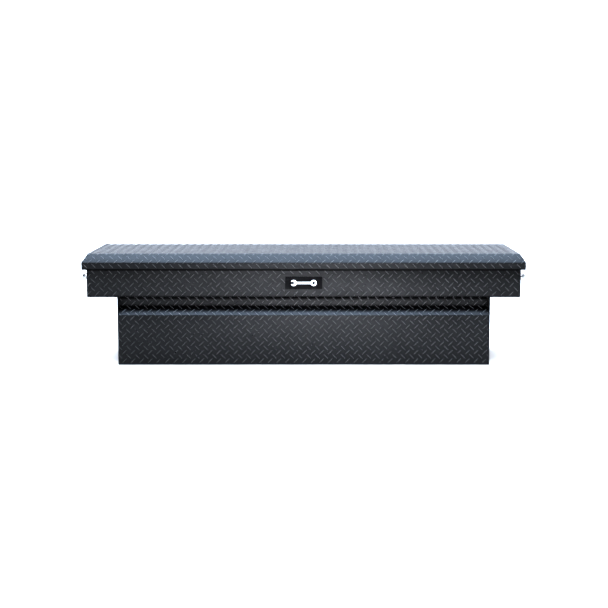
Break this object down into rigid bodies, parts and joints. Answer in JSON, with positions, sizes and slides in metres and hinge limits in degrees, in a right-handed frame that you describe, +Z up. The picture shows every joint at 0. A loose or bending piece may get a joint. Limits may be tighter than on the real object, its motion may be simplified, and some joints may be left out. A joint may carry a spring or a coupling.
{
  "type": "truck tool box",
  "caption": "Crossover truck bed tool box in black diamond tread plate with a chamfered hinged lid, gas struts and keyed paddle latches at both ends.",
  "frame": {"origin": "centre of the underside of the tub's bottom, on the floor of the truck's bed side", "axes": "+X across the truck to the right end, +Y to the hinged back, +Z up; the front faces -Y"},
  "size_m": [1.8224, 0.508, 0.4572],
  "materials": {
    "tread_black": "textured matte black powder coat on diamond tread plate",
    "plain_black": "textured matte black powder coat on smooth sheet",
    "badge_black": "satin black label plate with a white wordless spanner mark",
    "seal_rubber": "matte EPDM",
    "hinge_steel": "black coated steel",
    "zinc_steel": "bright zinc plate",
    "spring_steel": "oiled spring wire",
    "polished_stainless": "polished stainless steel",
    "strut_paint": "gloss black paint",
    "rod_chrome": "hard chrome",
    "socket_nylon": "glass-filled nylon",
    "lock_brass": "nickel-washed brass"
  },
  "bodies": {
    "tub": {"front_panel": "tread_black", "back_panel": "tread_black", "bottom_panel": "plain_black", "badge_plate": "badge_black", "lid_seal": "seal_rubber", "hinge_leaf_tub": "hinge_steel", "hinge_pin": "hinge_steel", "left_end_panel": "tread_black", "left_strut_bracket_tub": "zinc_steel", "left_handle_dish": "polished_stainless", "left_handle_gasket": "seal_rubber", "left_latch_body": "zinc_steel", "left_rotor_pin": "zinc_steel", "left_pawl_pin": "zinc_steel", "left_paddle_pin": "zinc_steel", "left_paddle_spring": "spring_steel", "right_end_panel": "tread_black", "right_strut_bracket_tub": "zinc_steel", "right_handle_dish": "polished_stainless", "right_handle_gasket": "seal_rubber", "right_latch_body": "zinc_steel", "right_rotor_pin": "zinc_steel", "right_pawl_pin": "zinc_steel", "right_paddle_pin": "zinc_steel", "right_paddle_spring": "spring_steel"},
    "lid": {"lid_shell": "tread_black", "lid_stiffener": "plain_black", "hinge_leaf_lid": "hinge_steel", "left_striker": "zinc_steel", "left_strut_bracket_lid": "zinc_steel", "right_striker": "zinc_steel", "right_strut_bracket_lid": "zinc_steel"},
    "left_strut_tube": {"left_strut_cylinder": "strut_paint", "left_strut_lower_socket": "socket_nylon"},
    "left_strut_piston": {"left_strut_rod": "rod_chrome", "left_strut_upper_socket": "socket_nylon"},
    "left_handle": {"left_paddle": "polished_stainless", "left_lock_barrel": "polished_stainless"},
    "left_lock": {"left_lock_plug": "lock_brass"},
    "left_link": {"left_release_link": "zinc_steel"},
    "left_pawl_lever": {"left_pawl": "zinc_steel"},
    "left_rotor_jaw": {"left_rotor": "zinc_steel"},
    "right_strut_tube": {"right_strut_cylinder": "strut_paint", "right_strut_lower_socket": "socket_nylon"},
    "right_strut_piston": {"right_strut_rod": "rod_chrome", "right_strut_upper_socket": "socket_nylon"},
    "right_handle": {"right_paddle": "polished_stainless", "right_lock_barrel": "polished_stainless"},
    "right_lock": {"right_lock_plug": "lock_brass"},
    "right_link": {"right_release_link": "zinc_steel"},
    "right_pawl_lever": {"right_pawl": "zinc_steel"},
    "right_rotor_jaw": {"right_rotor": "zinc_steel"}
  },
  "joints": [
    {"name": "lid_hinge", "type": "hinge", "parent": "tub", "child": "lid", "pos_m": [0, 0.24, 0.395], "axis": [-1, 0, 0], "range_deg": [0, 70]},
    {"name": "left_strut_swing", "type": "hinge", "parent": "tub", "child": "left_strut_tube", "pos_m": [-0.745, 0.14, 0.18], "axis": [-1, 0, 0], "range_deg": [0, 14.6]},
    {"name": "left_strut_stroke", "type": "slide", "parent": "left_strut_tube", "child": "left_strut_piston", "axis": [0, -0.0454, 0.999], "range_m": [0, 0.1075]},
    {"name": "left_paddle_pull", "type": "hinge", "parent": "tub", "child": "left_handle", "pos_m": [-0.8846, -0.148, 0.3655], "axis": [0, 1, 0], "range_deg": [0, 30], "stiffness_Nm_per_rad": 0.6, "springref_deg": -6.88},
    {"name": "left_lock_turn", "type": "hinge", "parent": "left_handle", "child": "left_lock", "pos_m": [-0.9, -0.148, 0.3575], "axis": [-1, 0, 0], "range_deg": [0, 90]},
    {"name": "left_link_slide", "type": "slide", "parent": "tub", "child": "left_link", "axis": [0, 0, -1], "range_m": [0, 0.0124]},
    {"name": "left_pawl_pivot", "type": "hinge", "parent": "tub", "child": "left_pawl_lever", "pos_m": [-0.845, -0.147, 0.343], "axis": [-1, 0, 0], "range_deg": [0, 30.5]},
    {"name": "left_rotor_turn", "type": "hinge", "parent": "tub", "child": "left_rotor_jaw", "pos_m": [-0.845, -0.167, 0.377], "axis": [1, 0, 0], "range_deg": [-62, 0], "stiffness_Nm_per_rad": 0.02, "springref_deg": 17.19},
    {"name": "right_strut_swing", "type": "hinge", "parent": "tub", "child": "right_strut_tube", "pos_m": [0.745, 0.14, 0.18], "axis": [-1, 0, 0], "range_deg": [0, 14.6]},
    {"name": "right_strut_stroke", "type": "slide", "parent": "right_strut_tube", "child": "right_strut_piston", "axis": [0, -0.0454, 0.999], "range_m": [0, 0.1075]},
    {"name": "right_paddle_pull", "type": "hinge", "parent": "tub", "child": "right_handle", "pos_m": [0.8846, -0.148, 0.3655], "axis": [0, -1, 0], "range_deg": [0, 30], "stiffness_Nm_per_rad": 0.6, "springref_deg": -6.88},
    {"name": "right_lock_turn", "type": "hinge", "parent": "right_handle", "child": "right_lock", "pos_m": [0.9, -0.148, 0.3575], "axis": [1, 0, 0], "range_deg": [0, 90]},
    {"name": "right_link_slide", "type": "slide", "parent": "tub", "child": "right_link", "axis": [0, 0, -1], "range_m": [0, 0.0124]},
    {"name": "right_pawl_pivot", "type": "hinge", "parent": "tub", "child": "right_pawl_lever", "pos_m": [0.845, -0.147, 0.343], "axis": [-1, 0, 0], "range_deg": [0, 30.5]},
    {"name": "right_rotor_turn", "type": "hinge", "parent": "tub", "child": "right_rotor_jaw", "pos_m": [0.845, -0.167, 0.377], "axis": [1, 0, 0], "range_deg": [-62, 0], "stiffness_Nm_per_rad": 0.02, "springref_deg": 17.19}
  ],
  "couplings": [
    {"joint": "left_strut_swing", "follows": "lid_hinge", "ratio": 0.20626},
    {"joint": "left_strut_stroke", "follows": "lid_hinge", "m_per_rad": 0.087419},
    {"joint": "left_link_slide", "follows": "left_paddle_pull", "m_per_rad": 0.02349},
    {"joint": "left_pawl_pivot", "follows": "left_paddle_pull", "ratio": 1},
    {"joint": "right_strut_swing", "follows": "lid_hinge", "ratio": 0.20626},
    {"joint": "right_strut_stroke", "follows": "lid_hinge", "m_per_rad": 0.087419},
    {"joint": "right_link_slide", "follows": "right_paddle_pull", "m_per_rad": 0.02349},
    {"joint": "right_pawl_pivot", "follows": "right_paddle_pull", "ratio": 1}
  ]
}
